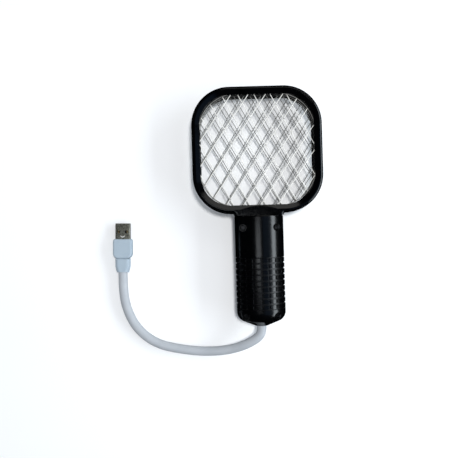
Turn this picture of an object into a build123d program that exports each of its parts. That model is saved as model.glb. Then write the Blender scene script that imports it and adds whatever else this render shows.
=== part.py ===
from build123d import *

import os
from math import atan2, cos, degrees, pi, radians, sin, sqrt, tan

# Compact rechargeable electric fly swatter with a short flexible charging lead.
#
# Frame: millimetres. +Y runs from the lead's exit to the tip of the head, +X to the right and +Z up.
# The swatter lies on a table at Z = 0, on the levelled underside of its grip, with its control panel
# underneath and its four case screws on top. The origin is the centre of the swatter's footprint.

# ------------------------------------------------------------------ driving sizes
# Head
head_width = 104.5
head_length = 101.5
head_corner = 30.5
head_thick = 20.0
rim_width = 6.5  # from the head's outside to its opening
bezel_wall = 2.0
crest_round = 2.5  # rounding of the bezel's outer edge
crest_inset = 2.9  # where the bezel's face starts to slope into the opening
crest_drop = 1.5  # how far that slope falls
neck_flare = 1.5  # concave corners where the neck meets the rim
saddle_radius = 41.0  # arched pad over the bottom of the rim
saddle_reach = 5.6  # how far the pad runs in from the head's lower edge

# Handle
handle_length = 91.0
handle_width = 39.5
handle_thick = 33.0
handle_wall = 2.2
neck_gap = 1.8  # length of neck that shows between the head and the barrel
barrel_end_wall = 2.4
barrel_round = 1.4
rest_flat = 0.5  # how much of the round underside is levelled off
nose_lip = 0.9  # flat end of the dome, round the lead's bush
nose_angle = 22.5  # slope of the dome
nose_fillet = 8.0
nose_wall = 2.4

# Grip: rows and columns of low square pads
pad_rows = 9
pad_columns = 20
pad_pitch = 4.63
pad_gap = 1.4
pad_height = 0.8
pad_root = 0.3  # how far a pad is rooted in the barrel
grip_start = 13.95  # from the handle's end

# Wire meshes
wire_size = 0.6
cross_gap = 0.02  # between the two layers of wires that cross
cell_width = 13.45
cell_length = 22.1
mesh_gap = 5.0  # from one mesh to the next
seat_gap = 0.04  # play above and below each mesh and spacer
rim_wire_ease = 5.5  # how much rounder the edge wire's corners are than the opening's
rim_wire_overlap = 0.75  # how far the edge wire lies outside the opening
wire_end_gap = 0.05  # from a wire's cut end to the edge wire
guard_crossing = (-12.3, 15.65)  # one crossing of each mesh, from the head's centre
grid_crossing = (-14.6, 15.9)
far_crossing = (-16.9, 16.3)
guard_turn = -3.75  # each mesh was cut a little askew, degrees
grid_turn = -2.3
far_turn = -0.8

# Tang that carries the head in the handle
tang_width = 32.0
tang_thick = 9.0
tang_length = 13.2
channel_width = 18.0
channel_height = 6.0
fit_gap = 0.2

# Case screws
screw_x_top = 13.4
screw_from_barrel = 9.9  # upper screws, from the barrel's end face
screw_x_low = 12.6
screw_from_end = 8.8  # lower screws, from the handle's end
screw_shank = 2.5
screw_head = 4.8
screw_head_thick = 1.8
screw_seat = 7.6  # seat of the screw heads above the middle plane
screw_tip = 10.0  # tip below the middle plane
screw_drive = 2.4  # cross recess: span, width and depth
screw_slot = 0.55
screw_drive_depth = 1.2
counterbore = 5.8
screw_hole = 2.9
pilot_hole = 2.1
column_radius = 3.4
boss_radius = 3.0

# Control panel on the underside
panel_width = 14.0
panel_length = 28.0
panel_end = 4.2  # from the barrel's end face
panel_corner = 5.0
panel_depth = 1.6
panel_thick = 2.0
button_size = 9.0
button_proud = 1.0
button_travel = 1.0
button_y = 24.7  # controls' places from the barrel's end face
led_y = 17.2
knob_y = 10.7
knob_width = 4.0
knob_length = 4.0
knob_travel = 3.0
knob_proud = 0.9
led_size = 3.0
slide_gap = 0.15
flange_thick = 1.0
flange_gap = 0.1
flange_lip = 1.0  # the button's flange past the button

# Circuit board and what it carries
board_thick = 1.6
board_width = 25.0
board_boss_gap = 1.4  # from the board's narrow end to the upper screws' bosses
board_tang_gap = 0.3
board_start_gap = 0.8  # from the lower screws' bosses to the board
board_end_gap = 4.0  # from the barrel's end face
board_shoulder_gap = 2.3  # from the wide part of the board to the upper screws' bosses
post_radius = 1.8
post_inset = 8.0  # posts, from the board's ends
switch_size = 6.0
stem_reach = 0.3  # how far the button's stem stands out of its flange
plunger_radius = 1.7
plunger_height = 1.2
spring_wire = 0.4
spring_gap = 0.56  # from the switch's corners to the spring
spring_turns = 3.5
slider_width = 4.3
slider_length = 8.6
knob_flange_thick = 0.8
slider_clear = 0.9  # from the knob's flange to the switch
lever_size = 1.5

# Rechargeable cell
cell_radius = 8.15
cell_body = 34.0
cell_room = 0.92  # from the wrapped cell to the handle's ceiling
wrap_gap = 0.03
wrap_thick = 0.2
tab_width = 5.0
tab_thick = 0.3
tab_foot = 2.0
rib_thick = 1.6
rib_gap = 0.25

# Charging lead and its plug
lead_size = 7.5
grommet_wall = 0.5  # grommet's neck round the lead
grommet_lip = 2.0  # the bush's flange past its neck
grommet_flange_thick = 2.0
ferrule_wall = 0.6
ferrule_length = 3.5
core_radius = 0.7
core_x = 1.6
plug_turn = -1.65  # the plug's turn from +Y, degrees
plug_x = -113.9  # where the lead enters the plug
plug_rise = 45.55  # and how far past the handle's end
relief_spread = 2.35  # strain relief beside the lead, at the plug
relief_wall = 0.2  # strain relief above and below the lead
relief_length = 10.6
relief_side = 1.3  # and beside it, where the lead leaves
groove_length = 0.6
groove_depth = 0.35
grip_width = 15.7
grip_shoulder = 4.4  # rounding of the moulded body's corners at the lead's side
grip_corner = 1.9  # and at the metal shell's side
grip_edge = 1.5
grip_step = 0.05  # the plug's moulded body above and below the strain relief
grip_length = 16.3
plug_shell_width = 12.0
plug_shell_thick = 4.5
plug_shell_wall = 0.3
plug_shell_length = 13.0
plug_shell_root = 5.0
tongue_width = 11.1
tongue_thick = 1.9
tongue_setback = 1.0
contact_width = 1.0
contact_pitch = 2.5
contact_thick = 0.3
lead_last_run = 12.9

# ------------------------------------------------------------------ places that follow
total_length = head_length + handle_length
tip_y = total_length / 2
end_y = -total_length / 2
join_y = tip_y - head_length
head_y = tip_y - head_length / 2
barrel_y = join_y - neck_gap
mid_z = handle_thick / 2 - rest_flat
grommet_neck = lead_size + 2 * grommet_wall
grommet_flange = grommet_neck + 2 * grommet_lip
nose_radius = grommet_neck / 2 + nose_lip
top_z = mid_z + head_thick / 2
wide = handle_width / 2
high = handle_thick / 2

opening_width = head_width - 2 * rim_width
opening_length = head_length - 2 * rim_width
opening_corner = head_corner - rim_width
rim_wire_corner = opening_corner + rim_wire_ease

mesh_thick = 2 * wire_size + cross_gap
spacer_thick = mesh_gap - 2 * seat_gap
guard_lift = mesh_thick + mesh_gap  # guard mesh's middle above the centre grid's
lip_under = mid_z + guard_lift + mesh_thick / 2 + seat_gap

fillet_rise = (wide - nose_fillet - nose_radius) * tan(radians(nose_angle))
dome_length = fillet_rise + nose_fillet / cos(radians(nose_angle))
grip_end = grip_start + pad_rows * pad_pitch

board_top = mid_z - tang_thick / 2 - board_tang_gap
board_under = board_top - board_thick
board_tongue = 2 * (screw_x_top - boss_radius - board_boss_gap)
board_start = screw_from_end + boss_radius + board_start_gap
panel_face = panel_depth
panel_inside = panel_face + panel_thick
panel_y = barrel_y - panel_end - panel_length / 2
flange_top = panel_inside + flange_gap + flange_thick
knob_flange_top = panel_inside + flange_gap + knob_flange_thick
switch_height = board_under - flange_top - stem_reach - plunger_height
slider_height = board_under - knob_flange_top - slider_clear
spring_radius = switch_size / sqrt(2) + spring_gap + spring_wire / 2
button_flange = max(button_size / 2 + flange_lip, spring_radius + spring_wire)
wrapped_radius = cell_radius + wrap_gap + wrap_thick
cell_start = board_start + tab_foot
cell_end_y = end_y + cell_start + cell_body
cell_lift = high - handle_wall - cell_room - wrapped_radius
cell_z = mid_z + cell_lift
upper_screws_y = barrel_y - screw_from_barrel
lower_screws_y = end_y + screw_from_end
case_screws = [(side * screw_x_top, upper_screws_y) for side in (-1, 1)]
case_screws += [(side * screw_x_low, lower_screws_y) for side in (-1, 1)]
shoulder_y = upper_screws_y - boss_radius - board_shoulder_gap
relief_thick = lead_size + 2 * relief_wall
relief_end = lead_size + 2 * relief_side
relief_width = lead_size + 2 * relief_spread
grip_thick = relief_thick + 2 * grip_step
big = 4 * total_length

# The lead's route, from the grommet's face to the plug's strain relief: x, y from the handle's end,
# and height. It drops to the table while it turns to the left, sweeps round in one open bend and
# runs up beside the handle.
laid = lead_size / 2 + 0.05
plug_place = (plug_x, end_y + plug_rise, grip_thick / 2)
plug_head = (sin(radians(-plug_turn)), cos(radians(-plug_turn)))
lead_lay = [
    (0.0, 0.0, mid_z),
    (0.0, -4.95, mid_z),
    (-2.4, -9.35, mid_z - 0.4),
    (-8.2, -13.6, mid_z - 1.9),
    (-17.0, -17.9, mid_z - 4.4),
    (-29.5, -21.5, laid + 4.1),
    (-46.5, -22.8, laid + 0.9),
    (-66.0, -20.7, laid),
    (-87.6, -15.5, laid),
    (-103.8, -2.3, laid),
    (-112.2, 15.5, laid),
]
lead_route = [(x, end_y + y, z) for x, y, z in lead_lay]
lead_route += [
    (
        plug_place[0] - lead_last_run * plug_head[0],
        plug_place[1] - lead_last_run * plug_head[1],
        plug_place[2],
    ),
    plug_place,
]


# ------------------------------------------------------------------ helpers
def block(x0, x1, y0, y1, z0, z1):
    """A box between two limits on each axis."""
    size = (x1 - x0, y1 - y0, z1 - z0)
    return Pos((x0 + x1) / 2, (y0 + y1) / 2, (z0 + z1) / 2) * Box(*size)


def upright(x, y, z0, z1, radius):
    """A vertical round bar."""
    return Pos(x, y, (z0 + z1) / 2) * Cylinder(radius, z1 - z0)


def lengthwise(x, z, y0, y1, radius):
    """A round bar along Y."""
    return Pos(x, (y0 + y1) / 2, z) * Rot(90, 0, 0) * Cylinder(radius, y1 - y0)


def rounded_block(width, length, corner, z0, z1, y=head_y, x=0.0):
    """An upright prism with a rounded rectangular plan."""
    return extrude(Pos(x, y, z0) * RectangleRounded(width, length, corner), amount=z1 - z0)


def across(y):
    """A workplane across the handle at y, centred on its axis."""
    return Plane(origin=(0, y, mid_z), x_dir=(1, 0, 0), z_dir=(0, 1, 0))


def tube(points, radius, radii):
    """A round tube along straight runs joined by tangent arcs."""
    path = FilletPolyline(*points, radius=radii)
    start = Plane(origin=path @ 0, z_dir=path % 0)
    return sweep(start * Circle(radius), path=path), path


def bend_radii(points, share=0.45):
    """The largest arcs that the runs leave room for, one for each corner."""
    radii = []
    for before, here, after in zip(points, points[1:], points[2:]):
        a = Vector(here) - Vector(before)
        b = Vector(after) - Vector(here)
        half_turn = radians(a.get_angle(b)) / 2
        radii.append(share * min(a.length, b.length) / tan(half_turn))
    return radii


def soft_lead(points, radius, bend):
    """An insulated conductor inside the case, with equal bends."""
    return tube(points, radius, [bend] * (len(points) - 2))[0]


# ------------------------------------------------------------------ handle
def nose_share(rise):
    """How much of its full width the dome has, from 0 to 1, at a distance from the handle's end."""
    centre = wide - nose_fillet
    if rise < dome_length - nose_fillet * cos(radians(nose_angle)):
        half = nose_radius + rise / tan(radians(nose_angle))
    else:
        half = centre + sqrt(max(0.0, nose_fillet**2 - (dome_length - rise) ** 2))
    return (half - nose_radius) / (wide - nose_radius)


def dome(start_y, length, nose, half_x, half_z):
    """The closed end of the handle: a shallow cone that rounds into the barrel."""

    def section(rise):
        share = nose_share(rise)
        face = Ellipse(nose + (half_x - nose) * share, nose + (half_z - nose) * share)
        return across(start_y + length * rise / dome_length) * face

    cone_end = dome_length - nose_fillet * cos(radians(nose_angle))
    bend = [cone_end + (dome_length - cone_end) * part for part in (0.0, 0.33, 0.67, 1.0)]
    return loft([section(0.0), section(cone_end)], ruled=True) + loft([section(r) for r in bend])


def handle_outside():
    """The handle without its pads, with its free end rounded."""
    start = end_y + dome_length
    barrel = extrude(across(start) * Ellipse(wide, high), amount=barrel_y - start)
    barrel = fillet(barrel.faces().sort_by(Axis.Y)[-1].edges(), barrel_round)
    return barrel + dome(end_y, dome_length, nose_radius, wide, high)


def handle_inside():
    """The hollow of the handle."""
    half_x = wide - handle_wall
    half_z = high - handle_wall
    start = end_y + dome_length + nose_wall / 2
    stop = barrel_y - barrel_end_wall
    hollow = extrude(across(start) * Ellipse(half_x, half_z), amount=stop - start)
    seat = grommet_flange / 2 + fit_gap
    length = start - end_y - nose_wall
    return hollow + dome(end_y + nose_wall, length, seat, half_x, half_z)


def pad_row():
    """One ring of pads, as a flat face at the grip's start."""
    floor = pad_height + pad_root
    ring = Ellipse(wide, high) - Ellipse(wide - floor, high - floor)
    for column in range(pad_columns):
        turn = 2 * pi * column / pad_columns
        slot = Rot(0, 0, degrees(atan2(sin(turn) / high, cos(turn) / wide))) * Rectangle(4, pad_gap)
        ring -= Pos(wide * cos(turn), high * sin(turn)) * slot
    return across(end_y + grip_start + pad_gap / 2) * ring


def handle_with_pads():
    """The handle's outside with the grip sunk and its pads standing in it, level underneath."""
    sunk = Ellipse(wide + 1, high + 1) - Ellipse(wide - pad_height, high - pad_height)
    body = handle_outside() - extrude(across(end_y + grip_start) * sunk, amount=grip_end - grip_start)
    row = extrude(pad_row(), amount=pad_pitch - pad_gap)
    body = body + [Pos(0, pad_pitch * n, 0) * pad for n in range(pad_rows) for pad in row.solids()]
    return body & block(-big, big, -big, big, 0, big)


def tang_window():
    """The way through the barrel's end wall for the head's tang."""
    half_x = tang_width / 2 + fit_gap
    half_z = tang_thick / 2 + fit_gap
    return block(-half_x, half_x, barrel_y - 2 * barrel_end_wall, barrel_y + 1, mid_z - half_z, mid_z + half_z)


def cell_cradle(sides):
    """Two ribs that hold the cell, above or below it."""
    ribs = Part()
    for y in (cell_start + 5, cell_start + cell_body - 5):
        y0 = end_y + y - rib_thick / 2
        ribs += block(-wide, wide, y0, y0 + rib_thick, *sides)
    return ribs - lengthwise(0, cell_z, end_y, barrel_y, wrapped_radius + rib_gap)


def upper_shell(body, hollow):
    """The half of the handle that carries the screw heads."""
    lining = handle_lining()
    add = cell_cradle((mid_z + cell_lift, mid_z + high))
    cut = tang_window() + grommet_hole()
    for x, y in case_screws:
        low = mid_z + (tang_thick / 2 + fit_gap if y == upper_screws_y else seat_gap)
        add += upright(x, y, low, mid_z + high, column_radius)
        cut += upright(x, y, mid_z, mid_z + high, screw_hole / 2)
        cut += upright(x, y, mid_z + screw_seat, mid_z + high, counterbore / 2)
    shell = (body - hollow) + (add & lining)
    return (shell - cut) & block(-big, big, -big, big, mid_z, big)


def lower_shell(body, hollow):
    """The half of the handle with the control panel."""
    lining = handle_lining()
    wall = 2.0
    plate = rounded_block(
        panel_width + 2 * wall, panel_length + 2 * wall, panel_corner + wall, 0, panel_inside, panel_y
    )
    recess = rounded_block(panel_width, panel_length, panel_corner, -1, panel_face, panel_y)
    add = plate & lining
    cut = tang_window() + grommet_hole() + recess
    for x, y in case_screws:
        top = mid_z - (tang_thick / 2 + fit_gap if y == upper_screws_y else seat_gap)
        add += upright(x, y, 0, top, boss_radius) & lining
        cut += upright(x, y, mid_z - screw_tip - 0.5, mid_z, pilot_hole / 2)
    for x in (-board_width / 2 + 2.5, board_width / 2 - 2.5):
        for y in (end_y + board_start + post_inset, shoulder_y - 2 * post_inset):
            add += upright(x, y, 0, board_under - seat_gap, post_radius) & lining
    cut += upright(0, barrel_y - button_y, -1, panel_inside + 1, button_size / 2 + slide_gap)
    cut += upright(0, barrel_y - led_y, -1, panel_inside + 1, led_size / 2 + fit_gap)
    half_slot = knob_length / 2 + slide_gap
    slot_y = barrel_y - knob_y
    cut += block(
        -knob_width / 2 - slide_gap,
        knob_width / 2 + slide_gap,
        slot_y - knob_travel / 2 - half_slot,
        slot_y + knob_travel / 2 + half_slot,
        -1,
        panel_inside + 1,
    )
    shell = (body - hollow) + add
    return (shell - cut) & block(-big, big, -big, big, 0, mid_z)


def handle_lining():
    """The hollow grown half-way into the wall, so that what is moulded inside roots in it."""
    half_x = wide - handle_wall / 2 - pad_height / 2
    half_z = high - handle_wall / 2 - pad_height / 2
    start = end_y + nose_wall / 2
    stop = barrel_y - barrel_end_wall / 2
    middle = end_y + dome_length + nose_wall / 2
    body = extrude(across(middle) * Ellipse(half_x, half_z), amount=stop - middle)
    return body + dome(start, middle - start, grommet_flange / 2, half_x, half_z)


def grommet_hole():
    """The lead's way out of the handle's end."""
    return lengthwise(0, mid_z, end_y - 1, end_y + 2 * nose_wall, grommet_neck / 2 + fit_gap / 2)


def case_screw(x, y):
    """A pan-head screw that closes the handle, with a cross recess."""
    seat = mid_z + screw_seat
    head = upright(x, y, seat, seat + screw_head_thick, screw_head / 2)
    head = fillet(head.faces().sort_by(Axis.Z)[-1].edges(), screw_head_thick / 2)
    drive = Box(screw_drive, screw_slot, 2 * screw_drive_depth) + Box(
        screw_slot, screw_drive, 2 * screw_drive_depth
    )
    head -= Pos(x, y, seat + screw_head_thick) * drive
    shank = upright(x, y, mid_z - screw_tip + screw_shank / 2, seat, screw_shank / 2)
    tip = Pos(x, y, mid_z - screw_tip + screw_shank / 4) * Cone(0.2, screw_shank / 2, screw_shank / 2)
    return head + shank + tip


# ------------------------------------------------------------------ head
def head_plan():
    """The head's outline with the neck that runs down to the barrel."""
    neck = Pos(0, (barrel_y + head_y) / 2) * Rectangle(handle_width, head_y - barrel_y)
    plan = Pos(0, head_y) * RectangleRounded(head_width, head_length, head_corner) + neck
    corners = [v for v in plan.vertices() if barrel_y + 0.1 < v.Y < head_y and abs(abs(v.X) - wide) < 0.1]
    return fillet(corners, neck_flare)


def upper_bezel():
    """The half of the head's frame that faces up, with its half of the tang."""
    body = extrude(Pos(0, 0, mid_z) * head_plan(), amount=head_thick / 2)
    crest = [e for e in body.faces().sort_by(Axis.Z)[-1].edges() if e.center().Y > barrel_y + 0.05]
    body = fillet(crest, crest_round)
    saddle = upright(0, join_y + saddle_reach - saddle_radius, mid_z, top_z + 1, saddle_radius)
    slope_width = head_width - 2 * crest_inset
    slope_length = head_length - 2 * crest_inset
    lip = Pos(0, head_y, top_z - crest_drop) * RectangleRounded(opening_width, opening_length, opening_corner)
    face = RectangleRounded(slope_width, slope_length, head_corner - crest_inset)
    body -= loft([lip, Pos(0, head_y, top_z) * face], ruled=True) - saddle
    inside = 2 * bezel_wall
    body -= rounded_block(
        head_width - inside, head_length - inside, head_corner - bezel_wall, mid_z, lip_under
    )
    body -= rounded_block(opening_width, opening_length, opening_corner, mid_z, top_z + 1)
    body += tang_half()
    return body - lead_channel()


def tang_half():
    """The upper half of the tang, with its screw holes."""
    stop = barrel_y - tang_length
    half = tang_width / 2
    tang = block(-half, half, stop, join_y, mid_z, mid_z + tang_thick / 2)
    for x, y in case_screws[:2]:
        tang -= upright(x, y, mid_z - 1, mid_z + tang_thick, screw_hole / 2)
    return tang


def lead_channel():
    """The way through the tang and the rim for the conductors to the meshes."""
    half = channel_width / 2
    return block(
        -half, half, barrel_y - tang_length - 1, join_y + bezel_wall + 1, mid_z, mid_z + channel_height / 2
    )


def spacer(z):
    """An insulating ring between two meshes, with a notch for the conductors."""
    outside = 2 * (bezel_wall + fit_gap)
    ring = rounded_block(
        head_width - outside, head_length - outside, head_corner - outside / 2, z, z + spacer_thick
    )
    hole = rounded_block(opening_width + 0.8, opening_length + 0.8, opening_corner + 0.4, z, z + spacer_thick)
    notch = join_y + bezel_wall + 2.4
    return ring - hole - block(-6.5, 6.5, join_y, notch, z, z + spacer_thick)


def rim_wire_plan(inset):
    """The edge wire's line, taken in by inset: width, length and corner."""
    grow = 2 * (rim_wire_overlap - inset)
    return opening_width + grow, opening_length + grow, rim_wire_corner - inset


def rim_wire(z):
    """The wire round the edge of a mesh."""
    path = (Pos(0, head_y, z) * RectangleRounded(*rim_wire_plan(0))).wire()
    start = Plane(origin=path @ 0, z_dir=path % 0)
    return sweep(start * Circle(wire_size / 2), path=path)


def mesh_wires(z, turn, node):
    """Straight crossing wires in two layers, with diamond cells. A crossing lies at node."""
    width, length, corner = rim_wire_plan(wire_size / 2 + wire_end_gap)
    room = rounded_block(width, length, corner, z - wire_size, z + wire_size)
    lift = (wire_size + cross_gap) / 2
    reach = int((head_width + head_length) / cell_width)
    wires = []
    for slope in (-1, 1):
        along = degrees(atan2(slope * cell_length, cell_width)) + turn
        for n in range(-reach, reach + 1):
            x = node[0] + n * cell_width * cos(radians(turn))
            y = head_y + node[1] + n * cell_width * sin(radians(turn))
            bar = Rot(0, 0, along) * Rot(0, 90, 0) * Cylinder(wire_size / 2, big / 2)
            kept = (Pos(x, y, z + slope * lift) * bar) & room
            if kept and max(kept.bounding_box().size) > 5 * wire_size:
                wires += kept.solids()
    return Compound(wires)


# ------------------------------------------------------------------ controls and electronics
def push_button():
    """The fire button, with the flange that keeps it in and the stem that works the switch."""
    y = barrel_y - button_y
    cap = upright(0, y, panel_face - button_proud, panel_inside + flange_gap, button_size / 2)
    cap = fillet(cap.faces().sort_by(Axis.Z)[0].edges(), 0.6)
    flange = upright(0, y, panel_inside + flange_gap, flange_top, button_flange)
    stem = upright(0, y, panel_inside, flange_top + stem_reach, plunger_radius)
    return cap + flange + stem


def button_plunger():
    """The small plunger in the switch."""
    top = board_under - switch_height + button_travel
    tip = board_under - switch_height - plunger_height
    return upright(0, barrel_y - button_y, tip, top, plunger_radius - 0.2)


def button_switch():
    """The push switch's body, under the board."""
    y = barrel_y - button_y
    half = switch_size / 2
    body = block(-half, half, y - half, y + half, board_under - switch_height, board_under)
    room = button_travel + plunger_height
    return body - upright(
        0, y, board_under - switch_height - 1, board_under - switch_height + room, plunger_radius
    )


def button_spring():
    """The return spring between the button's flange and the board."""
    low = flange_top + spring_wire / 2 + seat_gap
    height = board_under - spring_wire / 2 - seat_gap - low
    path = Helix(height / spring_turns, height, spring_radius)
    start = Plane(origin=path @ 0, z_dir=path % 0)
    coil = sweep(start * Circle(spring_wire / 2), path=path, is_frenet=True)
    return Pos(0, barrel_y - button_y, low) * coil


def slide_knob():
    """The master switch's knob, at its OFF end."""
    y = barrel_y - knob_y - knob_travel / 2
    half_x = knob_width / 2
    half_y = knob_length / 2
    grip = block(
        -half_x, half_x, y - half_y, y + half_y, panel_face - knob_proud, panel_inside + flange_gap
    )
    grip = fillet(grip.faces().sort_by(Axis.Z)[0].edges(), 0.4)
    for n in (-1, 0, 1):
        grip -= block(-big, big, y + n - 0.15, y + n + 0.15, 0, panel_face - knob_proud + 0.3)
    low = panel_inside + flange_gap
    side = half_x + 1.2
    ends = half_y + 0.8
    flange = block(-side, side, y - ends, y + ends, low, knob_flange_top)
    half = lever_size / 2
    lever = block(-half, half, y - half, y + half, knob_flange_top, board_under - slider_height + 0.8)
    return grip + flange + lever


def slide_switch():
    """The master switch's body, slotted for the lever."""
    y = barrel_y - knob_y
    half_x = slider_width / 2
    half_y = slider_length / 2
    body = block(-half_x, half_x, y - half_y, y + half_y, board_under - slider_height, board_under)
    half = lever_size / 2 + slide_gap
    reach = knob_travel / 2 + half
    return body - block(
        -half, half, y - reach, y + reach, board_under - slider_height - 1, board_under - slider_height + 1.2
    )


def indicator():
    """The indicator lamp, its dome level with the panel."""
    y = barrel_y - led_y
    lens = upright(0, y, panel_face + 0.1, board_under, led_size / 2)
    return fillet(lens.faces().sort_by(Axis.Z)[0].edges(), led_size / 2 - 0.1)


def circuit_board():
    """The board, with a narrow end between the upper screws' bosses."""
    y0 = end_y + board_start
    y2 = barrel_y - board_end_gap
    wide_part = block(-board_width / 2, board_width / 2, y0, shoulder_y, board_under, board_top)
    tongue = block(-board_tongue / 2, board_tongue / 2, shoulder_y, y2, board_under, board_top)
    return wide_part + tongue


def on_board(x, y, size_x, size_y, size_z):
    """A boxy component on the board's top."""
    return block(
        x - size_x / 2,
        x + size_x / 2,
        y - size_y / 2,
        y + size_y / 2,
        board_top,
        board_top + size_z,
    )


film_length = 12.0
film_place = (6.5, cell_end_y + 2.4 + film_length / 2)
transformer_place = (-6.0, film_place[1])


def transformer_core():
    """The step-up transformer's flat ferrite core, with a window on each side of its middle leg."""
    x, y = transformer_place
    core = Pos(0, 0, 1.6) * on_board(x, y, 10.0, 10.0, 4.6)
    for side in (-1, 1):
        core -= Pos(0, 0, 1) * on_board(x + side * 2.35, y, 2.3, 6.0, 8.0)
    return core


def transformer_coil():
    """The winding round the core's middle leg."""
    x, y = transformer_place
    coil = on_board(x, y, 6.8, 5.8, 7.8)
    return coil - Pos(0, 0, 1.5) * on_board(x, y, 2.5, 6.0, 4.8)


def film_capacitor():
    """The capacitor that stores the charge for the grid."""
    return fillet(on_board(*film_place, 6.5, film_length, 10.5).edges().filter_by(Axis.Z), 1.0)


def disc_capacitors():
    """Three disc capacitors of the voltage multiplier, on edge beside the cell."""
    discs = []
    for y in (20.0, 27.5, 35.0):
        discs.append(
            Pos(10.6, end_y + y, board_top + 3.2) * Rot(0, 90, 0) * Cylinder(3.0, 2.2)
        )
    return Compound([d.solid() for d in discs])


def diodes():
    """Three axial diodes of the voltage multiplier."""
    bodies = []
    for y in (20.0, 27.0, 34.0):
        bodies.append(lengthwise(-10.6, board_top + 1.4, end_y + y - 2.2, end_y + y + 2.2, 1.3))
    return Compound([b.solid() for b in bodies])


def transistor():
    """The oscillator's transistor, flat on one side."""
    y = end_y + 41.5
    body = upright(10.4, y, board_top + 0.6, board_top + 5.2, 2.3)
    return body - block(11.6, 14.0, y - 3, y + 3, board_top, board_top + 6)


def bleed_resistor():
    """The resistor that empties the capacitor when the button is let go."""
    y = end_y + 41.5
    return lengthwise(-10.6, board_top + 1.3, y - 3.0, y + 3.0, 1.2)


def cell():
    """The rechargeable cell, with its raised positive end."""
    y0 = end_y + cell_start
    body = lengthwise(0, cell_z, y0, y0 + cell_body, cell_radius)
    body = fillet(body.edges(), 0.5)
    return body + lengthwise(0, cell_z, y0 + cell_body, y0 + cell_body + 0.8, 3.0)


def cell_wrap():
    """The shrink sleeve round the cell."""
    y0 = end_y + cell_start + 0.6
    y1 = end_y + cell_start + cell_body - 0.6
    inner = cell_radius + wrap_gap
    return lengthwise(0, cell_z, y0, y1, inner + wrap_thick) - lengthwise(0, cell_z, y0 - 1, y1 + 1, inner)


def cell_tab(y, toward):
    """A contact strip from one end of the cell down to the board, with a foot."""
    half = tab_width / 2
    outer = y + toward * tab_thick
    y0, y1 = sorted((y, outer))
    strip = block(-half, half, y0, y1, board_top, cell_z + 3.0)
    y0, y1 = sorted((y, y + toward * tab_foot))
    return strip + block(-half, half, y0, y1, board_top, board_top + tab_thick)


# ------------------------------------------------------------------ conductors
def mesh_lead(x, z):
    """An insulated conductor from the board, through the tang, to a mesh's edge wire."""
    y0 = barrel_y - tang_length - 2.4
    notch_y = join_y + bezel_wall + 1.2
    end = head_y - opening_length / 2 - rim_wire_overlap - wire_size / 2 - seat_gap
    points = [(x, y0, board_top), (x, y0, mid_z)]
    if z != mid_z:
        points += [(x, notch_y, mid_z), (x, notch_y, z)]
    return soft_lead(points + [(x, end, z)], 0.55, 0.58)


def charge_cores():
    """The lead's two cores, from inside its bush to the board."""
    cores = []
    y0 = end_y + nose_wall + fit_gap / 2
    y1 = end_y + board_start + 0.9
    for side in (-1, 1):
        points = [
            (side * core_x, y0, mid_z),
            (side * core_x, y0 + 5.1, mid_z),
            (side * 4.4, y1, mid_z - 1.4),
            (side * 4.4, y1, board_top),
        ]
        cores.append(soft_lead(points, core_radius, 0.9))
    return Compound([c.solid() for c in cores])


# ------------------------------------------------------------------ charging lead
def lead_grommet():
    """The bush in the handle's end: a neck in the hole and a flange inside."""
    inside = end_y + nose_wall + fit_gap / 2
    neck = lengthwise(0, mid_z, end_y, inside, grommet_neck / 2)
    flange = lengthwise(0, mid_z, inside, inside + grommet_flange_thick - fit_gap, grommet_flange / 2)
    body = neck + flange
    for side in (-1, 1):
        body -= lengthwise(side * core_x, mid_z, end_y + nose_wall, inside + 5, core_radius + 0.1)
    return body


def lead_ferrule():
    """The metal sleeve that ends the flexible lead inside the handle."""
    y0 = end_y + nose_wall + grommet_flange_thick
    outer = lead_size / 2
    sleeve = lengthwise(0, mid_z, y0, y0 + ferrule_length, outer)
    return sleeve - lengthwise(0, mid_z, y0 - 1, y0 + ferrule_length + 1, outer - ferrule_wall)


def lead_tube():
    """The flexible charging lead."""
    radii = bend_radii(lead_route)
    body, path = tube(lead_route, lead_size / 2, radii)
    section = pi * (lead_size / 2) ** 2
    print("lead radii", [round(r, 1) for r in radii])
    print("lead length", round(path.length, 1), "volume over section", round(body.volume / section, 1))
    return body


def at_plug(part):
    """Moves a piece from the plug's own frame, +Y towards its tip, to the end of the lead."""
    return Pos(*plug_place) * Rot(0, 0, plug_turn) * part


def plug_relief():
    """The plug's tapered strain relief, round at the lead and flatter at the plug."""
    start = Plane(origin=(0, 0, 0), x_dir=(1, 0, 0), z_dir=(0, 1, 0))
    stop = Plane(origin=(0, relief_length * 0.45, 0), x_dir=(1, 0, 0), z_dir=(0, 1, 0))
    low = start * RectangleRounded(relief_end, relief_thick - 0.1, relief_thick / 2 - 0.2)
    top = stop * RectangleRounded(relief_width, relief_thick, relief_thick / 2 - 1.0)
    body = loft([low, top], ruled=True)
    return body + extrude(top, amount=relief_length * 0.55)


def plug_grip():
    """The moulded body of the plug, with a narrow groove where the strain relief starts."""
    y0 = relief_length + groove_length
    groove = Pos(0, relief_length + groove_length / 2, 0) * Box(
        relief_width - 2 * groove_depth, groove_length, relief_thick - 2 * groove_depth
    )
    body = Pos(0, y0 + grip_length / 2, 0) * Box(grip_width, grip_length, grip_thick)
    corners = body.edges().filter_by(Axis.Z).sort_by(Axis.Y)
    body = fillet(corners[:2], grip_shoulder)
    body = fillet(body.edges().filter_by(Axis.Z).sort_by(Axis.Y)[-2:], grip_corner)
    faces = body.faces().sort_by(Axis.Z)
    body = fillet(faces[-1].edges() + faces[0].edges(), grip_edge)
    return groove + body


def plug_shell_root_y():
    """Where the plug's metal shell starts, inside the moulded body."""
    return relief_length + groove_length + grip_length - plug_shell_root


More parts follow.
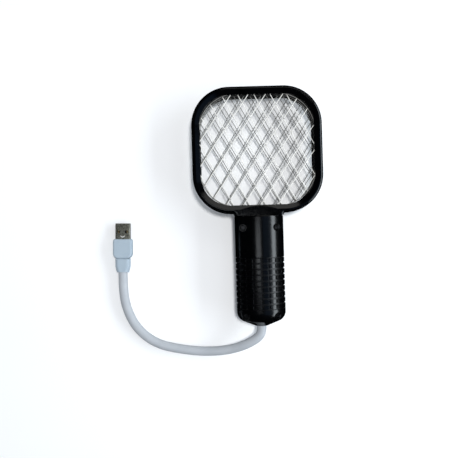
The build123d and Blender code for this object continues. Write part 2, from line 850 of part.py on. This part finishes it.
def plug_shell():
    """The plug's folded metal shell, with its four latch windows."""
    y0 = plug_shell_root_y()
    length = plug_shell_root + plug_shell_length
    plane = Plane(origin=(0, y0, 0), x_dir=(1, 0, 0), z_dir=(0, 1, 0))
    wall = 2 * plug_shell_wall
    outer = plane * RectangleRounded(plug_shell_width, plug_shell_thick, 0.6)
    inner = plane * RectangleRounded(plug_shell_width - wall, plug_shell_thick - wall, 0.3)
    shell = extrude(outer - inner, amount=length)
    for side in (-1, 1):
        shell -= Pos(side * 3.1, y0 + length - 7.0, 0) * Box(2.4, 2.1, 2 * plug_shell_thick)
    return shell


def plug_tongue():
    """The plug's insulator: a block at the back and the tongue that carries the contacts."""
    y0 = plug_shell_root_y()
    inside_x = plug_shell_width - 2 * plug_shell_wall - 0.1
    inside_z = plug_shell_thick - 2 * plug_shell_wall - 0.1
    plane = Plane(origin=(0, y0, 0), x_dir=(1, 0, 0), z_dir=(0, 1, 0))
    back = extrude(plane * RectangleRounded(inside_x, inside_z, 0.3), amount=plug_shell_root)
    low = -inside_z / 2
    tip = y0 + plug_shell_root + plug_shell_length - tongue_setback
    return back + block(-tongue_width / 2, tongue_width / 2, y0, tip, low, low + tongue_thick)


def plug_contacts():
    """The four contacts on the tongue."""
    y0 = plug_shell_root_y() + plug_shell_root
    z0 = -(plug_shell_thick - 2 * plug_shell_wall - 0.1) / 2 + tongue_thick
    pins = []
    for n in range(4):
        x = (n - 1.5) * contact_pitch
        half = contact_width / 2
        pins.append(block(x - half, x + half, y0, y0 + 8.5, z0, z0 + contact_thick).solid())
    return Compound(pins)


# ------------------------------------------------------------------ the whole
def build():
    """Every piece, by name."""
    body = handle_with_pads()
    hollow = handle_inside()
    bezel = upper_bezel()
    y_cell = end_y + cell_start
    grip = plug_grip()
    shell_room = Pos(0, plug_shell_root_y() + big / 2, 0) * Box(plug_shell_width, big, plug_shell_thick)
    return {
        "upper_bezel": bezel,
        "lower_bezel": bezel.mirror(Plane.XY.offset(mid_z)),
        "upper_spacer": spacer(mid_z + mesh_thick / 2 + seat_gap),
        "lower_spacer": spacer(mid_z - mesh_thick / 2 - seat_gap - spacer_thick),
        "upper_guard_wires": mesh_wires(mid_z + guard_lift, guard_turn, guard_crossing),
        "upper_guard_edge": rim_wire(mid_z + guard_lift),
        "charged_grid_wires": mesh_wires(mid_z, grid_turn, grid_crossing),
        "charged_grid_edge": rim_wire(mid_z),
        "lower_guard_wires": mesh_wires(mid_z - guard_lift, far_turn, far_crossing),
        "lower_guard_edge": rim_wire(mid_z - guard_lift),
        "upper_handle_shell": upper_shell(body, hollow),
        "lower_handle_shell": lower_shell(body, hollow),
        "case_screws": Compound([case_screw(x, y).solid() for x, y in case_screws]),
        "fire_button": push_button(),
        "fire_switch_plunger": button_plunger(),
        "fire_switch_body": button_switch(),
        "button_spring": button_spring(),
        "slide_knob": slide_knob(),
        "slide_switch_body": slide_switch(),
        "indicator_lamp": indicator(),
        "circuit_board": circuit_board(),
        "transformer_core": transformer_core(),
        "transformer_coil": transformer_coil(),
        "film_capacitor": film_capacitor(),
        "disc_capacitors": disc_capacitors(),
        "multiplier_diodes": diodes(),
        "drive_transistor": transistor(),
        "bleed_resistor": bleed_resistor(),
        "battery_cell": cell(),
        "battery_wrap": cell_wrap(),
        "negative_tab": cell_tab(y_cell, -1),
        "positive_tab": cell_tab(y_cell + cell_body + 0.8, 1),
        "grid_lead": mesh_lead(0.0, mid_z),
        "upper_guard_lead": mesh_lead(-4.0, mid_z + guard_lift),
        "lower_guard_lead": mesh_lead(4.0, mid_z - guard_lift),
        "charge_cores": charge_cores(),
        "lead_ferrule": lead_ferrule(),
        "lead_grommet": lead_grommet(),
        "charging_lead": lead_tube(),
        "plug_strain_relief": at_plug(plug_relief()),
        "plug_grip": at_plug(grip - shell_room),
        "plug_shell": at_plug(plug_shell()),
        "plug_tongue": at_plug(plug_tongue()),
        "plug_contacts": at_plug(plug_contacts()),
    }


os.makedirs("parts", exist_ok=True)
for name, shape in build().items():
    export_step(shape, f"parts/{name}.step")
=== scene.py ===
import math
import random

import bmesh
import bpy
import numpy as np
from mathutils import Matrix, Vector


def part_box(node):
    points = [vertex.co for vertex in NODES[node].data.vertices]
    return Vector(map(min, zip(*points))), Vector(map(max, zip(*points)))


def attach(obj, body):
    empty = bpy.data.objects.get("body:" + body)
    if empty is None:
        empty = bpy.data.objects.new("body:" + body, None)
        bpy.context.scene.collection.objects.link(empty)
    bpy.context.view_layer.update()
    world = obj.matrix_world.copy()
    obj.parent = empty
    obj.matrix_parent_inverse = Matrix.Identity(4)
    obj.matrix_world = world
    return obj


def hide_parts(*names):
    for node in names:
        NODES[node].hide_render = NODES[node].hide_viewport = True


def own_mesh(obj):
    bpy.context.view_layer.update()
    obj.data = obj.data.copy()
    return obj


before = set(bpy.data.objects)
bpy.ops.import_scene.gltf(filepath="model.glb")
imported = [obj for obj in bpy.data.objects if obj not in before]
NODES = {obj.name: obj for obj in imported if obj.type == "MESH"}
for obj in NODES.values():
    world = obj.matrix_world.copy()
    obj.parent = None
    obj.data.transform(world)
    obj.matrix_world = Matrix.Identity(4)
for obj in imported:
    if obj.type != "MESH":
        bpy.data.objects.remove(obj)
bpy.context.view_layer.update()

ROOT = "swatter"

CAMERA_PLACE = (-0.0244, -0.0174, 0.4635)
CAMERA_TURN = math.radians(-1.65)
FLOOR_HALF = 2.5
FLOOR_DROP = 0.0001

GRIP_START = 0.01395  # the grip's pads, from the handle's end
GRIP_LENGTH = 0.04167
GROOVE_TOP = 0.985  # share of the handle's half size where a groove starts and where it is full
GROOVE_FLOOR = 0.968
LEAD_SIZE = 0.0075

PLUG_TURN = math.radians(1.65)
CATCH_PLACE = 0.0310  # the catch's centre, from the plug's lead end
CATCH_RADIUS = 0.0018
CATCH_STEPS = 24
CATCH_THIN = 0.0001  # radius of the ridge at its ends, and what its middle adds
CATCH_THICK = 0.00032
CATCH_FLATTEN = 0.5

WIRE_RADIUS = 0.0003
WIRE_SIDES = 9
WIRE_STEP = 0.0017
WIRE_SWAY = (0.00003, 0.0001)  # how far a wire strays to a side, least and most
WIRE_WAVE = 210.0  # radians of that waviness in a metre of wire
WIRE_UNEVEN = 0.05  # share by which its radius varies
CROSSING_REACH = 0.0006  # how near a crossing lies to the wires that make it
PRESS_LENGTH = 0.0011  # length over which crossed wires bend together
PRESS_SHARE = 0.55
PRESS_THIN = 0.1
WELD_SIZE = (0.00042, 0.00072, 0.00045)


# ------------------------------------------------------------------ camera and stage
def link(obj):
    bpy.context.scene.collection.objects.link(obj)
    return obj


def make_camera():
    """Looks straight down at the table from close by, turned a little."""
    data = bpy.data.cameras.new("camera")
    data.lens = 43.23
    data.sensor_width = 36.0
    cam = bpy.data.objects.new("camera", data)
    cam.location = CAMERA_PLACE
    cam.rotation_euler = (0.0, 0.0, CAMERA_TURN)
    bpy.context.scene.camera = link(cam)


def area_light(name, place, target, size, power, colour, glossy):
    """A rectangular soft light that faces a point, mirrored in gloss or not."""
    data = bpy.data.lights.new(name, "AREA")
    data.shape = "RECTANGLE"
    data.size, data.size_y = size
    data.energy = power
    data.color = colour
    lamp = link(bpy.data.objects.new(name, data))
    lamp.location = place
    lamp.rotation_euler = (Vector(target) - Vector(place)).to_track_quat("-Z", "Y").to_euler()
    lamp.visible_glossy = glossy


# ------------------------------------------------------------------ shader helpers
class Shader:
    """A material with a principled shader and a few helpers for its nodes."""

    def __init__(self, name, **values):
        self.mat = bpy.data.materials.new(name)
        self.mat.use_nodes = True
        self.tree = self.mat.node_tree
        self.bsdf = self.tree.nodes["Principled BSDF"]
        for key, value in values.items():
            self.bsdf.inputs[key].default_value = value

    def node(self, kind, **values):
        made = self.tree.nodes.new(kind)
        for key, value in values.items():
            if key in made.inputs:
                made.inputs[key].default_value = value
            else:
                setattr(made, key, value)
        return made

    def join(self, source, target):
        self.tree.links.new(source, target)

    def noise(self, scale, detail=3.0, rough=0.55, stretch=(1, 1, 1)):
        """Noise of that many features per metre, in the object's own space."""
        coords = self.node("ShaderNodeTexCoord")
        mapping = self.node("ShaderNodeMapping")
        mapping.inputs["Scale"].default_value = stretch
        self.join(coords.outputs["Object"], mapping.inputs["Vector"])
        tex = self.node("ShaderNodeTexNoise", Scale=scale, Detail=detail, Roughness=rough)
        self.join(mapping.outputs["Vector"], tex.inputs["Vector"])
        return tex.outputs["Fac"]

    def ramp(self, source, stops):
        """A colour ramp. stops are (place, colour) or (place, number)."""
        made = self.node("ShaderNodeValToRGB")
        ramp = made.color_ramp
        while len(ramp.elements) < len(stops):
            ramp.elements.new(0.5)
        for element, (at, value) in zip(ramp.elements, stops):
            element.position = at
            shade = value if isinstance(value, (tuple, list)) else (value,) * 3
            element.color = (*shade, 1.0)
        self.join(source, made.inputs["Fac"])
        return made.outputs["Color"]

    def maths(self, how, a, b=None):
        made = self.node("ShaderNodeMath", operation=how)
        for i, value in enumerate((a, b)):
            if value is None:
                continue
            if isinstance(value, (int, float)):
                made.inputs[i].default_value = value
            else:
                self.join(value, made.inputs[i])
        return made.outputs[0]

    def colour(self, source):
        self.join(source, self.bsdf.inputs["Base Color"])

    def roughness(self, source):
        self.join(source, self.bsdf.inputs["Roughness"])

    def bump(self, heights, edge=0.0):
        """Stacks bumps, each (height socket, metres), over softened edges."""
        last = None
        if edge:
            last = self.node("ShaderNodeBevel", samples=6, Radius=edge).outputs["Normal"]
        for height, depth in heights:
            made = self.node("ShaderNodeBump", Strength=1.0, Distance=depth)
            self.join(height, made.inputs["Height"])
            if last is not None:
                self.join(last, made.inputs["Normal"])
            last = made.outputs["Normal"]
        self.join(last, self.bsdf.inputs["Normal"])


def groove_mask(s):
    """1 on the floor of the grooves between the grip's pads, 0 elsewhere on the handle."""
    low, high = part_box("upper_handle_shell")
    half_width = (high[0] - low[0]) / 2
    half_height = high[2] - low[2]
    split = s.node("ShaderNodeSeparateXYZ")
    s.join(s.node("ShaderNodeTexCoord").outputs["Object"], split.inputs[0])
    across = s.maths("DIVIDE", split.outputs["X"], half_width)
    up = s.maths("DIVIDE", s.maths("SUBTRACT", split.outputs["Z"], low[2]), half_height)
    squares = [s.maths("MULTIPLY", part, part) for part in (across, up)]
    radius = s.maths("SQRT", s.maths("ADD", *squares))
    deep = s.node("ShaderNodeMapRange")
    s.join(radius, deep.inputs["Value"])
    deep.inputs["From Min"].default_value = GROOVE_TOP
    deep.inputs["From Max"].default_value = GROOVE_FLOOR
    start = s.maths("GREATER_THAN", split.outputs["Y"], low[1] + GRIP_START)
    stop = s.maths("LESS_THAN", split.outputs["Y"], low[1] + GRIP_START + GRIP_LENGTH)
    return s.maths("MULTIPLY", deep.outputs["Result"], s.maths("MULTIPLY", start, stop))


def case_plastic(name, grip=False):
    """Glossy black moulded plastic with a faint orange peel, fine scuffs and dull grooves."""
    s = Shader(name, Metallic=0.0)
    s.bsdf.inputs["IOR"].default_value = 1.5
    tones = [(0.3, (0.0004, 0.0005, 0.0007)), (0.7, (0.0010, 0.0011, 0.0015))]
    s.colour(s.ramp(s.noise(140, 4), tones))
    scuff = s.noise(900, 6, 0.7, (1, 0.25, 1))
    dull = 0.1 if grip else 0.0
    shine = s.ramp(scuff, [(0.35, 0.08 + dull), (0.6, 0.11 + dull), (0.8, 0.18 + dull)])
    if grip:
        shine = s.maths("MAXIMUM", shine, s.maths("MULTIPLY", groove_mask(s), 0.36))
    s.roughness(shine)
    peel = s.noise(520, 2, 0.4)
    grain = s.noise(5200, 2, 0.5)
    s.bump([(peel, 0.00002), (grain, 0.000003)], edge=0.00025)
    return s.mat


def wire_metal(name, tone, metallic):
    """Plated wire, a little uneven in tone along its length; tone sets how bright the wire is painted,
    as painted light or painted shade.
    """
    s = Shader(name, Metallic=metallic)
    cream = (1.0, 0.98, 0.92)
    shades = [tuple(tone * part * c for c in cream) for part in (0.8, 0.95, 1.0)]
    s.colour(s.ramp(s.noise(420, 4), list(zip((0.25, 0.5, 0.75), shades))))
    s.roughness(s.ramp(s.noise(1500, 3), [(0.3, 0.26), (0.7, 0.42)]))
    s.bump([(s.noise(2600, 3), 0.00002)])
    return s.mat


def lead_rubber(name, low, high, edge=0.0):
    """Soft moulded rubber with a satin skin."""
    s = Shader(name, Metallic=0.0)
    s.bsdf.inputs["IOR"].default_value = 1.47
    s.bsdf.inputs["Subsurface Weight"].default_value = 0.12
    s.bsdf.inputs["Subsurface Radius"].default_value = (0.0022, 0.0022, 0.0026)
    s.bsdf.inputs["Subsurface Scale"].default_value = 0.6
    s.colour(s.ramp(s.noise(90, 3), [(0.3, low), (0.7, high)]))
    s.roughness(s.ramp(s.noise(1300, 4), [(0.3, 0.42), (0.7, 0.55)]))
    s.bump([(s.noise(350, 2), 0.00003), (s.noise(4200, 3), 0.000008)], edge=edge)
    return s.mat


def plated(name, low, high, rough=(0.2, 0.34), edge=0.0001, stretch=(1, 0.1, 1)):
    """Plated sheet metal with fine rolling lines."""
    s = Shader(name, Metallic=1.0)
    s.colour(s.ramp(s.noise(260, 3), [(0.3, low), (0.7, high)]))
    lines = s.noise(3600, 4, 0.6, stretch)
    s.roughness(s.ramp(lines, [(0.3, rough[0]), (0.7, rough[1])]))
    s.bump([(lines, 0.000004)], edge=edge)
    return s.mat


def moulded(name, low, high, rough=(0.45, 0.6), grain=3000, edge=0.00012, metallic=0.0):
    """Plain moulded or painted small part with a fine grain."""
    s = Shader(name, Metallic=metallic)
    s.colour(s.ramp(s.noise(500, 3), [(0.3, low), (0.7, high)]))
    s.roughness(s.ramp(s.noise(1700, 3), [(0.3, rough[0]), (0.7, rough[1])]))
    s.bump([(s.noise(grain, 3), 0.00001)], edge=edge)
    return s.mat


def floor_paper():
    """Plain white paper, almost even."""
    s = Shader("floor_paper", Roughness=0.8, Metallic=0.0)
    s.bsdf.inputs["Specular IOR Level"].default_value = 0.1
    s.colour(s.ramp(s.noise(6, 2), [(0.3, (0.93, 0.93, 0.93)), (0.7, (0.945, 0.945, 0.945))]))
    return s.mat


def wear(obj, mat):
    """Gives a CAD node one material on all its faces."""
    obj.data.materials.clear()
    obj.data.materials.append(mat)
    for poly in obj.data.polygons:
        poly.material_index = 0


# ------------------------------------------------------------------ mesh helpers
def finish_mesh(name, bm, mat):
    """Turns a bmesh into a smooth piece that rides on the swatter."""
    bmesh.ops.recalc_face_normals(bm, faces=bm.faces)
    data = bpy.data.meshes.new(name)
    bm.to_mesh(data)
    bm.free()
    for poly in data.polygons:
        poly.use_smooth = True
    obj = link(bpy.data.objects.new(name, data))
    data.materials.append(mat)
    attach(obj, ROOT)
    return obj


def add_tube(bm, points, radii, sides):
    """A round tube through points, with its own radius at each, closed at its ends."""
    rings = []
    for i, point in enumerate(points):
        ahead = points[min(i + 1, len(points) - 1)] - points[max(i - 1, 0)]
        turn = ahead.to_track_quat("Z", "Y").to_matrix()
        ring = []
        for k in range(sides):
            angle = 2 * math.pi * k / sides
            out = turn @ Vector((math.cos(angle), math.sin(angle), 0)) * radii[i]
            ring.append(bm.verts.new(point + out))
        rings.append(ring)
    for a, b in zip(rings, rings[1:]):
        for k in range(sides):
            bm.faces.new((a[k], a[(k + 1) % sides], b[(k + 1) % sides], b[k]))
    bm.faces.new(rings[0])
    bm.faces.new(list(reversed(rings[-1])))


def wire_ends(node):
    """The two ends of each straight wire in a CAD node, read from its mesh."""
    mesh = NODES[node].data
    parent = list(range(len(mesh.vertices)))

    def top(i):
        while parent[i] != i:
            parent[i] = parent[parent[i]]
            i = parent[i]
        return i

    seen = {}
    for v in mesh.vertices:
        key = tuple(round(c, 6) for c in v.co)
        if key in seen:
            parent[top(v.index)] = top(seen[key])
        else:
            seen[key] = v.index
    for e in mesh.edges:
        parent[top(e.vertices[0])] = top(e.vertices[1])
    groups = {}
    for v in mesh.vertices:
        groups.setdefault(top(v.index), []).append(v.co)
    wires = []
    for points in groups.values():
        co = np.array([tuple(p) for p in points])
        middle = co.mean(0)
        _, _, axes = np.linalg.svd(co - middle, full_matrices=False)
        along = (co - middle) @ axes[0]
        z = (co[:, 2].min() + co[:, 2].max()) / 2
        ends = [middle + axes[0] * along.min(), middle + axes[0] * along.max()]
        wires.append([Vector((p[0], p[1], z)) for p in ends])
    return wires


def crossing(a, b):
    """Where two wires cross in plan, or None."""
    d1, d2 = a[1] - a[0], b[1] - b[0]
    under = d1.x * d2.y - d1.y * d2.x
    if abs(under) < 1e-9:
        return None
    gap = b[0] - a[0]
    t = (gap.x * d2.y - gap.y * d2.x) / under
    u = (gap.x * d1.y - gap.y * d1.x) / under
    if 0.02 < t < 0.98 and 0.02 < u < 0.98:
        return a[0] + d1 * t
    return None


def draw_wire(bm, wire, crossings, middle_z, rng):
    """One drawn wire, slightly wavy and pressed to the mesh's middle at its crossings."""
    run = wire[1] - wire[0]
    length = run.length
    side = Vector((-run.y, run.x, 0)).normalized()
    steps = max(4, int(length / WIRE_STEP))
    phase = rng.uniform(0, 6.28)
    sway = rng.uniform(*WIRE_SWAY)
    near = []
    for at in crossings:
        if abs((at - wire[0]).dot(side)) < CROSSING_REACH:
            near.append((at - wire[0]).dot(run) / length)
    points, radii = [], []
    for k in range(steps + 1):
        t = k / steps
        s = t * length
        ease = math.sin(math.pi * t)
        off = side * sway * ease * math.sin(phase + s * WIRE_WAVE)
        press = max([math.exp(-(((s - n) / PRESS_LENGTH) ** 2)) for n in near], default=0.0)
        height = wire[0].z + (middle_z - wire[0].z) * PRESS_SHARE * press
        p = wire[0] + run * t + off
        points.append(Vector((p.x, p.y, height)))
        uneven = 1.0 + WIRE_UNEVEN * rng.uniform(-1, 1)
        radii.append(WIRE_RADIUS * uneven * (1 - PRESS_THIN * press))
    add_tube(bm, points, radii, WIRE_SIDES)


def build_mesh(node, seed, mat):
    """A mesh of drawn wires with a weld at every crossing, in place of a CAD node."""
    rng = random.Random(seed)
    wires = wire_ends(node)
    middle_z = sum(w[0].z for w in wires) / len(wires)
    crossings = []
    for i, wire in enumerate(wires):
        for other in wires[i + 1 :]:
            at = crossing(wire, other)
            if at is not None:
                crossings.append(Vector((at.x, at.y, middle_z)))
    bm = bmesh.new()
    for wire in wires:
        draw_wire(bm, wire, crossings, middle_z, rng)
    made = finish_mesh(node + "_drawn", bm, mat)
    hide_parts(node)
    bm = bmesh.new()
    for at in crossings:
        size = rng.uniform(0.9, 1.15)
        place = Matrix.Translation(at) @ Matrix.Rotation(rng.uniform(-0.2, 0.2), 4, "Z")
        stretch = Matrix.Diagonal((WELD_SIZE[0] * size, WELD_SIZE[1] * size, WELD_SIZE[2], 1.0))
        bmesh.ops.create_icosphere(bm, subdivisions=2, radius=1.0, matrix=place @ stretch)
    finish_mesh(node + "_welds", bm, weld_metal)


# ------------------------------------------------------------------ the scene
make_camera()

floor_bm = bmesh.new()
bmesh.ops.create_grid(floor_bm, x_segments=2, y_segments=2, size=FLOOR_HALF)
floor_data = bpy.data.meshes.new("floor")
floor_bm.to_mesh(floor_data)
floor_bm.free()
floor = link(bpy.data.objects.new("floor", floor_data))
floor.location.z = -FLOOR_DROP
floor_data.materials.append(floor_paper())
floor.visible_glossy = False

world = bpy.data.worlds.new("studio")
bpy.context.scene.world = world
world.use_nodes = True
back = world.node_tree.nodes["Background"]
back.inputs["Color"].default_value = (0.86, 0.92, 1.0, 1.0)
back.inputs["Strength"].default_value = 0.34
world.cycles_visibility.glossy = False

# name, place, the point it faces, size, watts, colour, mirrored in gloss
LIGHTS = [
    ("key", (0.13, 0.12, 1.3), (-0.02, -0.02, 0), (0.16, 0.16), 10.0, (1, 1, 1), False),
    ("overhead", (-0.1, -0.078, 1.1), (-0.1, -0.078, 0), (0.34, 0.135), 0.4, (0.9, 0.95, 1), True),
    ("right_box", (0.86, 0, 0.51), (0, 0, 0.02), (1.4, 0.34), 8.5, (0.86, 0.94, 1), True),
    ("back_box", (0.28, 0.78, 0.75), (0, 0.03, 0.02), (0.9, 0.3), 0.75, (1, 0.99, 0.96), True),
    ("blue_panel", (0.5, -0.08, 0.87), (0, -0.03, 0.02), (0.7, 0.62), 0.24, (0.38, 0.62, 1), True),
]
for light in LIGHTS:
    area_light(*light)

bpy.context.scene.view_settings.view_transform = "Standard"
bpy.context.scene.view_settings.look = "None"
bpy.context.scene.view_settings.exposure = 0.0

# ------------------------------------------------------------------ materials
black = case_plastic("case_black")
grip_black = case_plastic("handle_black", grip=True)
# painted light and shade: the top guard's wire is made near-white and almost matte so it reads lit,
# while the same plated wire in the grid and lower guard is painted darker as painted shade
lit_guard_wire = wire_metal("lit_guard_wire", 0.98, 0.05)
shaded_inner_wire = wire_metal("shaded_inner_wire", 0.42, 0.5)
weld_metal = plated(
    "weld_metal", (0.86, 0.84, 0.79), (0.97, 0.95, 0.91), (0.18, 0.3), edge=0.0, stretch=(1, 1, 1)
)
ring_black = moulded("ring_black", (0.010, 0.010, 0.011), (0.018, 0.018, 0.019), (0.5, 0.62))
sheath = lead_rubber("lead_sheath", (0.415, 0.44, 0.47), (0.455, 0.48, 0.51))
mould = lead_rubber("plug_mould", (0.36, 0.435, 0.5), (0.39, 0.465, 0.53), edge=0.0003)
nickel = plated("plug_nickel", (0.3, 0.295, 0.24), (0.4, 0.39, 0.33))
# painted highlight: the catch is the shell's own nickel, coloured pale and half matte so that it reads
# as a bright arc
highlight_nickel = moulded(
    "catch_painted_highlight", (0.8, 0.79, 0.74), (0.9, 0.89, 0.84), (0.3, 0.4), edge=0.0, metallic=0.3
)
steel = plated("plain_steel", (0.36, 0.36, 0.36), (0.5, 0.5, 0.5), (0.25, 0.4))
oxide = plated("screw_oxide", (0.025, 0.025, 0.027), (0.06, 0.06, 0.063), (0.14, 0.28))
red = moulded("button_red", (0.42, 0.018, 0.014), (0.5, 0.025, 0.018), (0.25, 0.34))
lens = moulded("lamp_lens", (0.62, 0.05, 0.04), (0.72, 0.08, 0.06), (0.1, 0.16))
board = moulded("board_green", (0.010, 0.07, 0.028), (0.016, 0.1, 0.04), (0.35, 0.5), 1500)
ferrite = moulded("ferrite_grey", (0.03, 0.03, 0.031), (0.05, 0.05, 0.052), (0.6, 0.75))
tape = moulded("coil_tape", (0.62, 0.42, 0.05), (0.72, 0.5, 0.08), (0.25, 0.35), 900)
film = moulded("film_brown", (0.30, 0.05, 0.02), (0.36, 0.07, 0.03), (0.18, 0.28))
disc = moulded("disc_blue", (0.03, 0.1, 0.32), (0.04, 0.13, 0.38), (0.3, 0.42))
can = plated("cell_can", (0.66, 0.66, 0.66), (0.74, 0.74, 0.74), (0.22, 0.32))
wrap = moulded("cell_wrap", (0.03, 0.06, 0.22), (0.04, 0.08, 0.27), (0.14, 0.22), 700)
red_wire = moulded("wire_red", (0.45, 0.02, 0.02), (0.55, 0.03, 0.03))
black_wire = moulded("wire_black", (0.015, 0.015, 0.016), (0.025, 0.025, 0.026))
insulator = moulded("plug_insulator", (0.012, 0.012, 0.013), (0.02, 0.02, 0.021), (0.4, 0.55))
gold = plated("contact_gold", (0.42, 0.31, 0.14), (0.5, 0.38, 0.18), (0.15, 0.25), 0.0)

LOOKS = {
    black: ("upper_bezel", "lower_bezel", "lead_grommet"),
    grip_black: ("upper_handle_shell", "lower_handle_shell"),
    ring_black: (
        "upper_spacer",
        "lower_spacer",
        "fire_switch_plunger",
        "fire_switch_body",
        "slide_knob",
        "multiplier_diodes",
        "drive_transistor",
    ),
    shaded_inner_wire: ("upper_guard_edge", "charged_grid_edge", "lower_guard_edge"),
    oxide: ("case_screws",),
    steel: ("button_spring", "slide_switch_body", "negative_tab", "positive_tab"),
    red: ("fire_button",),
    lens: ("indicator_lamp",),
    board: ("circuit_board",),
    ferrite: ("transformer_core",),
    tape: ("transformer_coil",),
    film: ("film_capacitor",),
    disc: ("disc_capacitors", "bleed_resistor"),
    can: ("battery_cell",),
    wrap: ("battery_wrap",),
    red_wire: ("grid_lead", "charge_cores"),
    black_wire: ("upper_guard_lead", "lower_guard_lead"),
    nickel: ("plug_shell", "lead_ferrule"),
    mould: ("plug_strain_relief", "plug_grip"),
    insulator: ("plug_tongue",),
    gold: ("plug_contacts",),
}
for look, names in LOOKS.items():
    for name in names:
        wear(NODES[name], look)

# ------------------------------------------------------------------ the button's spring, copied to a mesh of its own
spring = link(bpy.data.objects.new("button_spring_coil", NODES["button_spring"].data.copy()))
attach(spring, ROOT)
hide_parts("button_spring")
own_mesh(spring)

# ------------------------------------------------------------------ the charging lead
lead_points = [
    (0.0, -0.09625, 0.0160),
    (0.0, -0.10120, 0.0160),
    (-0.0024, -0.10560, 0.0156),
    (-0.0082, -0.10985, 0.0141),
    (-0.0170, -0.11415, 0.0116),
    (-0.0295, -0.11775, 0.0079),
    (-0.0465, -0.11905, 0.0047),
    (-0.0660, -0.11695, 0.0038),
    (-0.0876, -0.11175, 0.0038),
    (-0.1038, -0.09855, 0.0038),
    (-0.1122, -0.08075, 0.0038),
    (-0.11427, -0.06359, 0.0040),
    (-0.1139, -0.0507, 0.0040),
]
curve = bpy.data.curves.new("charging_lead_sheath", "CURVE")
curve.dimensions = "3D"
curve.bevel_depth = LEAD_SIZE / 2
curve.bevel_resolution = 10
curve.resolution_u = 18
curve.use_fill_caps = True
spline = curve.splines.new("NURBS")
spline.points.add(len(lead_points) - 1)
for point, where in zip(spline.points, lead_points):
    point.co = (*where, 1.0)
spline.order_u = 3
spline.use_endpoint_u = True
lead = link(bpy.data.objects.new("charging_lead_sheath", curve))
curve.materials.append(sheath)
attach(lead, ROOT)
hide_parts("charging_lead")

# ------------------------------------------------------------------ the plug's stamped catch
def shell_catch():
    """A smile-shaped ridge stamped in the plug's shell, near the moulded body, painted much paler than
    the shell as a painted highlight.
    """
    run = Vector((math.sin(PLUG_TURN), math.cos(PLUG_TURN), 0))
    side = Vector((run.y, -run.x, 0))
    root = Vector((lead_points[-1][0], lead_points[-1][1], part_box("plug_shell")[1][2]))
    centre = root + run * CATCH_PLACE
    points, radii = [], []
    for k in range(CATCH_STEPS + 1):
        angle = math.radians(-75 + 150 * k / CATCH_STEPS)
        points.append(centre + (side * math.sin(angle) - run * math.cos(angle)) * CATCH_RADIUS)
        swell = math.cos(math.radians(-88 + 176 * k / CATCH_STEPS))
        radii.append(CATCH_THIN + CATCH_THICK * swell)
    bm = bmesh.new()
    add_tube(bm, points, radii, 12)
    for v in bm.verts:
        v.co.z = root.z + (v.co.z - root.z) * CATCH_FLATTEN
    finish_mesh("plug_shell_catch", bm, highlight_nickel)


shell_catch()

# ------------------------------------------------------------------ the wire meshes
build_mesh("upper_guard_wires", 11, lit_guard_wire)
build_mesh("charged_grid_wires", 12, shaded_inner_wire)
build_mesh("lower_guard_wires", 13, shaded_inner_wire)
